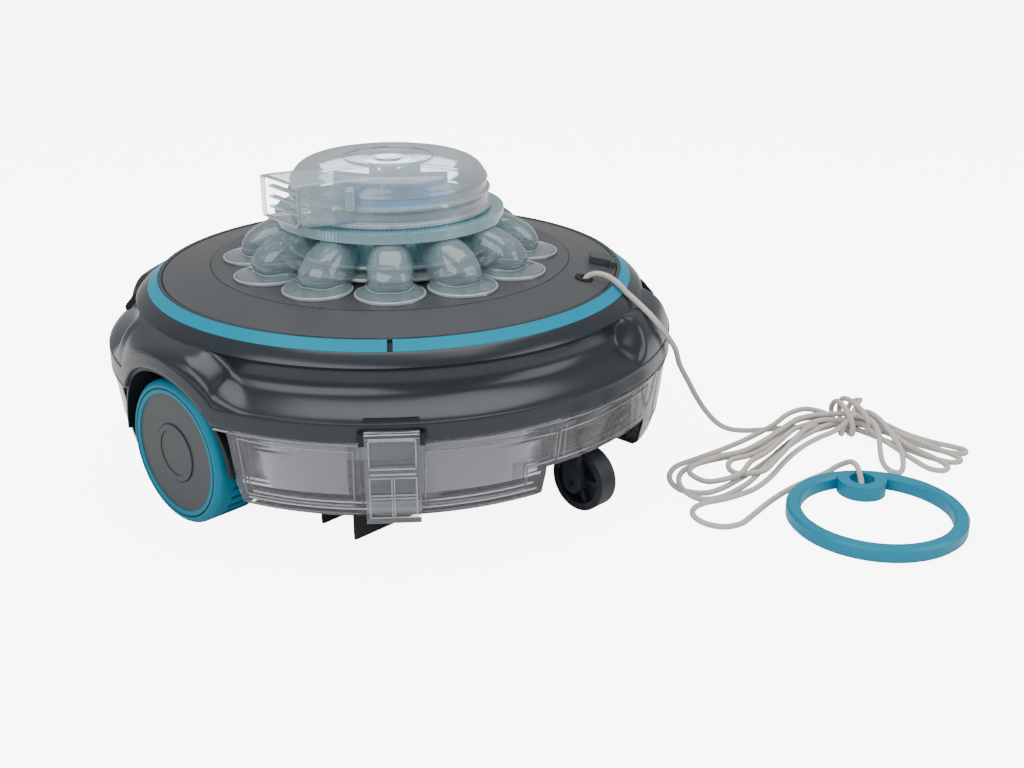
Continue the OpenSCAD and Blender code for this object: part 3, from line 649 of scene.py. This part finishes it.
def cut_boxes(ob, boxes):
    """Cuts boxes, in millimetres, out of a closed mesh piece."""
    cutter_v, cutter_f = join(boxes)
    me = bpy.data.meshes.new("cutter")
    me.from_pydata([(x * MM, y * MM, z * MM) for x, y, z in cutter_v], [], cutter_f)
    cutter = bpy.data.objects.new("cutter", me)
    bpy.context.scene.collection.objects.link(cutter)
    ob.modifiers.remove(ob.modifiers["split"])
    m = ob.modifiers.new("cut", "BOOLEAN")
    m.operation = "DIFFERENCE"
    m.solver = "EXACT"
    m.object = cutter
    done = bpy.data.meshes.new_from_object(ob.evaluated_get(bpy.context.evaluated_depsgraph_get()))
    ob.modifiers.remove(m)
    ob.data = done
    bpy.data.objects.remove(cutter)
    crisp(ob, 30)


cut_boxes(housing, [box_part(-16.8, 16.8, -212, -195.5, 70, 97.6),
                    box_part(-16.8, 16.8, 195.5, 212, 70, 97.6)])
dark = []
for side in (1, -1):
    dark.append(box_part(-16.6, 16.6, *sorted((-197.2 * side, -194 * side)), 83, 97.4))
    for x in (-18, 18):
        dark.append(box_part(x - 1.9, x + 1.9, *sorted((-204.6 * side, -196 * side)), 83, 90))
lining = mesh_object("latch_lining", *join(dark), "black", "root", smooth=False)
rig.slot(lining, "black_plastic")

# ---- tyres: wedge-shaped tread slots, and the dark line let into each face ----
TYRE_FOOT = 154.5    # how far out along the axle the tyre begins
# the tyre's outline: radius, and how far out from the tyre's foot
TYRE = [(39.5, 0), (45.4, 0), (47.6, 0.6), (48.2, 1.8), (48.5, 3), (48.5, 9), (48.5, 14), (48.5, 19),
        (48.5, 23.5), (48.5, 24.2), (48.5, 28), (48.5, 31.6), (48.2, 33), (47.4, 34.2), (46.2, 35.3),
        (45.2, 36), (43.7, 36), (43.6, 35.2), (42.6, 35.2), (42.5, 36), (40.2, 36), (39.5, 35.4)]
SLOTS = 36
SLOT_TURN = [0, 1.5, 1.7, 4.2, 4.6, 7.2]    # degrees from one slot's start; the third and fourth lie in it
# a slot's depth at each distance out from the tyre's foot
SLOT_AT = {3: 2.6, 9: 2.4, 14: 2.1, 19: 1.6, 23.5: 0.9, 1.8: 2.4, 0.6: 2.0}


def wheel_point(side, r, angle, out):
    """A point about a road wheel's axle: out is the distance from the robot's axis along the axle."""
    az = math.radians(WHEEL_AZ[0] if side == 1 else WHEEL_AZ[1])
    n = (math.sin(az), -math.cos(az))
    h = r * math.cos(angle)
    return (n[0] * out - n[1] * h, n[1] * out + n[0] * h, AXLE_Z + r * math.sin(angle))


for side, end in ((1, "left"), (-1, "right")):
    angles = [360 / SLOTS * k + t for k in range(SLOTS) for t in SLOT_TURN]
    tyre_v = []
    for k, a in enumerate(angles):
        for r, w in TYRE:
            deep = SLOT_AT.get(w, 0.0) if k % len(SLOT_TURN) in (2, 3) and r > 44 else 0.0
            tyre_v.append(wheel_point(side, r - deep, math.radians(a), TYRE_FOOT + w))
    tyre = mesh_object("tread_" + end, tyre_v, grid_faces(len(angles), len(TYRE), True, True), "tyre",
                       "road_wheel_" + end, split=32)
    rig.replaces(tyre, "tyre_" + end)
    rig.slot(tyre, "tyre_teal")
    for name, inner, outer, foot, top in (("tyre_line_", 42.7, 43.5, 189.6, 190.2),
                                          ("cap_line_", 19.3, 20.1, 189.2, 189.7)):
        line_v = [wheel_point(side, r, 2 * math.pi * k / 120, out) for k in range(120)
                  for r, out in ((inner, foot), (outer, foot), (outer, top), (inner, top))]
        line = mesh_object(name + end, line_v, grid_faces(120, 4, True, True), "groove", "road_wheel_" + end)
        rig.slot(line, "hub_grey")

# ---- crown: twelve rounded ducts on flared skirts ----
PIVOT_R, PIVOT_Z = 78.0, 148.0    # the point that a duct's side outline is drawn about
DUCT_HALF = 16                    # half of a duct's width
DUCTS = 12
# degrees above the outward level line, and how far the outline is from the pivot there
REACH = [(-11, 24.6), (-4, 26.6), (6, 27.2), (18, 26.2), (32, 24.0), (48, 22.2), (64, 21.6),
         (78, 21.8), (90, 22.6), (102, 23.2), (112, 23.9), (122, 24.8), (131, 26.4)]


def reach_at(psi):
    """The side outline's distance from the pivot at an angle."""
    for (a, ra), (b, rb) in zip(REACH, REACH[1:]):
        if psi <= b:
            t = (psi - a) / (b - a)
            return ra + (rb - ra) * t
    return REACH[-1][1]


def super_arc(eta, power):
    """A point of a quarter-round corner curve: (across, out), each from -1 to 1."""
    c, s = math.cos(eta), math.sin(eta)
    return (math.copysign(abs(s) ** (2 / power), s), abs(c) ** (2 / power))


def finger():
    """A duct's rounded back, from the tower out and down to its skirt."""
    rows, cols = 34, 25
    low, high = REACH[0][0], REACH[-1][0]
    verts = []
    for i in range(rows):
        psi = high - (high - low) * i / (rows - 1)
        reach = reach_at(psi)
        a = math.radians(psi)
        for j in range(cols):
            across, out = super_arc(math.pi * (j / (cols - 1) - 0.5), 2.9)
            d = reach * out
            verts.append((PIVOT_R + d * math.cos(a), DUCT_HALF * across, PIVOT_Z + d * math.sin(a)))
    return verts, grid_faces(rows, cols)


def skirt():
    """Neck and flared skirt: closed loops from the finger's foot out to the round rim."""
    loops = [(86.9, 14.9, 15.3, 149.0), (86.9, 14.9, 15.3, 147.0), (87.3, 15.3, 15.8, 146.0),
             (88.2, 16.8, 17.0, 145.2), (90.0, 18.8, 19.0, 144.5), (92.2, 20.8, 20.9, 143.8),
             (94.2, 22.3, 22.3, 143.3)]
    n = 48
    verts = []
    for c, rx, ry, z in loops:
        for k in range(n):
            a = 2 * math.pi * k / n
            verts.append((c + rx * math.cos(a), ry * math.sin(a), z))
    return verts, grid_faces(len(loops), n, False, True)


def rim():
    """The round rim that a skirt ends in."""
    profile = [(22.1, 141.5), (23.2, 141.5), (23.6, 142.2), (23.4, 143.2), (22.7, 143.6), (22.0, 143.2)]
    return lathe(profile, 64, (95, 0))


fingers, rims = [], []
for k in range(DUCTS):
    for make, keep in ((finger, fingers), (skirt, fingers), (rim, rims)):
        keep.append(turn(make(), -90 + 360 / DUCTS * k))
crown = mesh_object("crown_ducts", *join(fingers), "crown", "root", split=60)
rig.replaces(crown, "duct_crown")
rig.slot(crown, "crown_clear")
rim_ob = mesh_object("crown_rims", *join(rims), "rimclear", "root")
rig.slot(rim_ob, "crown_clear")
ribs = []
RIB_IN = 61.8    # inner radius of the crown's ring ribs
for z0, z1, r in ((150.4, 152.6, 70), (144.2, 146.6, 78)):
    ribs.append(lathe([(RIB_IN, z0), (r, z0), (r + 0.6, (z0 + z1) / 2), (r, z1), (RIB_IN, z1)], 144))
rib_ob = mesh_object("crown_ribs", *join(ribs), "rimclear", "root")
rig.slot(rib_ob, "crown_clear")

# ---- frames and ledges on the tray's wall; their pale colour is a painted highlight ----
TRAY_WALL = [(31, 190), (45, 193.5), (70, 196.5), (79, 198), (LIP_Z, 198)]    # (height, radius)
MM_PER_DEGREE = 3.4                # along the tray's wall


def tray_radius(z):
    """The tray's outer radius at a height."""
    for (z0, r0), (z1, r1) in zip(TRAY_WALL, TRAY_WALL[1:]):
        if z <= z1:
            return r0 + (r1 - r0) * (z - z0) / (z1 - z0)
    return TRAY_WALL[-1][1]


def strip(points, wide=0.45, proud=0.6):
    """A thin raised rib along points (azimuth, z) on the tray's wall."""
    section = ((-1, -0.6), (-1, proud * 0.6), (-0.4, proud), (0.4, proud), (1, proud * 0.6), (1, -0.6))
    rows = []
    for i, (az, z) in enumerate(points):
        a0, z0 = points[max(0, i - 1)]
        a1, z1 = points[min(len(points) - 1, i + 1)]
        da, dz = (a1 - a0) * MM_PER_DEGREE, z1 - z0
        length = math.hypot(da, dz) or 1
        ca, cz = -dz / length / MM_PER_DEGREE, da / length
        row = []
        for side, lift in section:
            zz = z + cz * side * wide
            row.append(polar(az + ca * side * wide, tray_radius(zz) + lift, zz))
        rows.append(row)
    n = len(section)
    last = (len(rows) - 1) * n
    faces = grid_faces(len(rows), n, False, True)
    faces += [tuple(range(n - 1, -1, -1)), tuple(last + k for k in range(n))]
    return [p for r in rows for p in r], faces


def run(a0, z0, a1, z1, steps=24):
    """Evenly spaced points of a straight line from one (azimuth, z) to another."""
    return [(a0 + (a1 - a0) * k / steps, z0 + (z1 - z0) * k / steps) for k in range(steps + 1)]


def frame_line(corners):
    """A closed line of points through the corners."""
    out = []
    for (a0, z0), (a1, z1) in zip(corners, corners[1:] + corners[:1]):
        out += run(a0, z0, a1, z1)[:-1]
    return out + out[:1]


ribs = []
for base in (0, 180):
    for corners in ([(-28.4, 77.5), (-28.2, 38.6), (-7.2, 37.8), (-6.8, 76)],
                    [(5.8, 75.6), (5.6, 38), (25.1, 37.6), (25.2, 53.2), (31, 53.8), (31.2, 73.2)],
                    [(32, 73.4), (31.8, 53.6), (59, 53.8), (59.6, 76)],
                    [(67, 77), (67, 40), (103, 40), (103, 77)]):
        ribs.append(strip([(a + base, z) for a, z in frame_line(corners)]))
    for a0, a1 in ((-29, -6), (5.2, 27.6)):
        ribs.append(strip([(a + base, z) for a, z in run(a0, 31.8, a1, 31.8, 60)], wide=0.3, proud=0.3))
    ribs.append(strip([(a + base, z) for a, z in run(-33.4, 80.9, 117.4, 80.9, 120)], wide=0.5, proud=1.3))
    for a, foot in ((-5.8, 33), (5.0, 33), (33.2, 53)):
        ribs.append(strip([(az + base, z) for az, z in run(a, 78, a, foot, 20)], wide=0.25, proud=0.5))
frames = mesh_object("tray_frames", *join(ribs), "edges", "root")
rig.slot(frames, "tray_clear")

# ---- raised ribs on the latches' faces; their pale colour is a painted highlight ----
BAR_IN, BAR_OUT = 205.2, 205.9    # a bar's back, inside the latch, and its front, from the robot's axis


def latch_bar(side, x0, x1, z0, z1):
    """A bar that stands proud of a latch's flat face."""
    return box_part(x0, x1, *sorted((-BAR_OUT * side, -BAR_IN * side)), z0, z1)


bars = []
for side in (1, -1):
    for z, h in ((36.2, 0.8), (48.9, 0.7), (51.0, 0.7), (62.2, 0.8), (64.4, 1.3), (68.0, 1.2), (86.4, 2.0)):
        bars.append(latch_bar(side, -13.8, 13.8, z, z + h))
    for x in (-14.4, 13.6):
        bars.append(latch_bar(side, x, x + 0.8, 36.2, 62.9))
        bars.append(latch_bar(side, x, x + 0.8, 70, 87))
    for x in (-1.1, 0.4):
        bars.append(latch_bar(side, x, x + 0.7, 36.2, 62.9))
for body, half in (("front_latch", bars[:len(bars) // 2]), ("rear_latch", bars[len(bars) // 2:])):
    ribs_ob = mesh_object(body + "_ribs", *join(half), "ribs", body, smooth=False)
    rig.slot(ribs_ob, "head_clear")

# ---- turning head ----
HEAD = [(55, 178.5), (70.6, 178.5), (71.5, 179.2), (71.5, 181.2), (70.6, 181.9), (69.6, 182.2),
        (69.3, 184), (69.3, 189.2), (69.6, 189.7), (70.4, 190.0), (70.5, 191.6), (69.6, 192.1),
        (68.4, 192.4), (68.2, 197.2), (68.4, 197.7), (68.9, 198.2), (68.6, 199.6), (67.6, 200.4),
        (66.3, 203.2), (63.8, 206.4), (60.2, 209.0), (55.6, 210.9), (50, 212.1), (42, 212.9),
        (34, 213.3), (31.8, 213.4), (31.2, 212.9), (31, 211.2), (30, 210.6), (17, 210.4), (16, 210.9),
        (15.6, 211.8), (14.8, 212), (9.2, 212), (8.6, 211.4), (8.2, 209.9), (4, 209.6), (0.2, 209.6)]
OUT = math.radians(-76.5)    # azimuth that the jet's outlet faces
OUT_U = (math.sin(OUT), -math.cos(OUT))
OUT_V = (-OUT_U[1], OUT_U[0])


# the spout's walls, across and up, the radius of its corners, and the body's radius where it starts
SPOUT_V0, SPOUT_V1, SPOUT_Z0, SPOUT_Z1, CORNER, BODY_R = 14.5, 59.0, 181.0, 210.6, 3.2, 66.5
MOUTH, SLANT = 91, 17        # how far out the mouth's near side is, and how much less its far side
CREST = 1.2                  # how much the spout's top falls towards its mouth
MOUTH_WALL = 1.9             # thickness of the mouth's edge


def head_point(u, v, z):
    """A point u out along the outlet and v across it."""
    return (u * OUT_U[0] + v * OUT_V[0], u * OUT_U[1] + v * OUT_V[1], z)


def mouth_at(v):
    """How far out the slanting mouth is."""
    return MOUTH - (v - SPOUT_V0) * SLANT / (SPOUT_V1 - SPOUT_V0)


def outlet_shell():
    """The spout: rounded box walls from the round body out to the slanting mouth, open at both ends."""
    section = []
    left, right, foot, top = SPOUT_V0 + CORNER, SPOUT_V1 - CORNER, SPOUT_Z0 + CORNER, SPOUT_Z1 - CORNER
    for cv, cz, start in ((right, top, 0), (left, top, 90), (left, foot, 180), (right, foot, 270)):
        for k in range(6):
            a = math.radians(start + 90 * k / 5)
            section.append((cv + CORNER * math.cos(a), cz + CORNER * math.sin(a)))
    rows = 16
    verts = []
    for i in range(rows):
        t = i / (rows - 1)
        for v, z in section:
            start = math.sqrt(BODY_R ** 2 - v * v) - 6
            u = start + (mouth_at(v) - start) * t
            drop = 0.0 if z < 200 else CREST * t * t
            verts.append(head_point(u, v, z - drop))
    return verts, grid_faces(rows, len(section), False, True), section


head = mesh_object("head_shell", *lathe(HEAD, 180, closed=False), "head", "jet_head", split=50)
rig.replaces(head, "nozzle_head")
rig.slot(head, "head_clear")
spout_v, spout_f, spout_section = outlet_shell()
spout = mesh_object("head_spout", spout_v, spout_f, "head", "jet_head", split=50)
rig.slot(spout, "head_clear")
# the mouth's thick bright edge
MID_V, MID_Z = 36.7, 195.8    # the mouth's middle
edge_v = []
for v, z in spout_section:
    front, back = mouth_at(v) + 0.1, mouth_at(v) - 3
    share = 1 - MOUTH_WALL / math.hypot(z - MID_Z, v - MID_V)
    outer_z = z - (0.0 if z < 200 else CREST)
    inner_z = MID_Z + (outer_z - MID_Z) * share
    inner_v = MID_V + (v - MID_V) * share
    edge_v += [head_point(front, v, outer_z), head_point(front, inner_v, inner_z),
               head_point(back, inner_v, inner_z), head_point(back, v, outer_z)]
edge = mesh_object("head_mouth", edge_v, grid_faces(len(spout_section), 4, True, True), "rimclear",
                   "jet_head")
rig.slot(edge, "head_clear")

# ---- floor and light ----
def floor_material():
    """A white floor. To the camera it also glows, which washes most of its shadows out."""
    m, nodes, links, bsdf = new_material("floor")
    patches = nodes.new("ShaderNodeTexNoise")
    patches.inputs["Scale"].default_value = 6
    blend = add_blend(nodes, links, patches.outputs["Fac"])
    blend.inputs["A"].default_value = (0.93, 0.93, 0.93, 1)
    blend.inputs["B"].default_value = (0.96, 0.96, 0.96, 1)
    links.new(blend.outputs["Result"], bsdf.inputs["Base Color"])
    bsdf.inputs["Roughness"].default_value = 0.9
    ray = nodes.new("ShaderNodeLightPath")
    glow = nodes.new("ShaderNodeMath")
    glow.operation = "MULTIPLY"
    glow.inputs[1].default_value = 7.0
    links.new(ray.outputs["Is Camera Ray"], glow.inputs[0])
    light = nodes.new("ShaderNodeEmission")
    links.new(glow.outputs[0], light.inputs["Strength"])
    both = nodes.new("ShaderNodeAddShader")
    links.new(bsdf.outputs[0], both.inputs[0])
    links.new(light.outputs[0], both.inputs[1])
    links.new(both.outputs[0], nodes["Material Output"].inputs["Surface"])
    return m


FLOOR_SIDE = 60    # metres
bm = bmesh.new()
bmesh.ops.create_grid(bm, x_segments=1, y_segments=1, size=FLOOR_SIDE / 2)
floor_data = bpy.data.meshes.new("floor")
bm.to_mesh(floor_data)
bm.free()
floor = bpy.data.objects.new("floor", floor_data)
bpy.context.scene.collection.objects.link(floor)
floor_data.materials.append(floor_material())
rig.stage(floor)


def area(name, place, size, power):
    """A rectangular light that faces the object."""
    lamp = bpy.data.lights.new(name, "AREA")
    lamp.shape = "RECTANGLE"
    lamp.size, lamp.size_y = size
    lamp.energy = power
    ob = bpy.data.objects.new(name, lamp)
    ob.location = place
    ob.rotation_euler = (Vector((0, 0, 0.1)) - Vector(place)).to_track_quat("-Z", "Y").to_euler()
    bpy.context.scene.collection.objects.link(ob)
    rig.stage(ob)


area("key", (-0.9, -1.2, 1.5), (2.0, 1.3), 32)
area("fill", (1.5, -0.6, 1.0), (1.0, 1.2), 12)
area("top", (0.1, 0.4, 1.9), (1.6, 1.2), 22)
world = bpy.data.worlds.new("world")
bpy.context.scene.world = world
world.use_nodes = True
backdrop = world.node_tree.nodes["Background"]
backdrop.inputs["Color"].default_value = (1, 1, 1, 1)
backdrop.inputs["Strength"].default_value = 0.5

lo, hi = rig.bounds()
with open("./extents.json") as f:
    first = json.load(f)
with open("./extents.json", "w") as f:
    json.dump([first, [list(lo), list(hi)]], f)
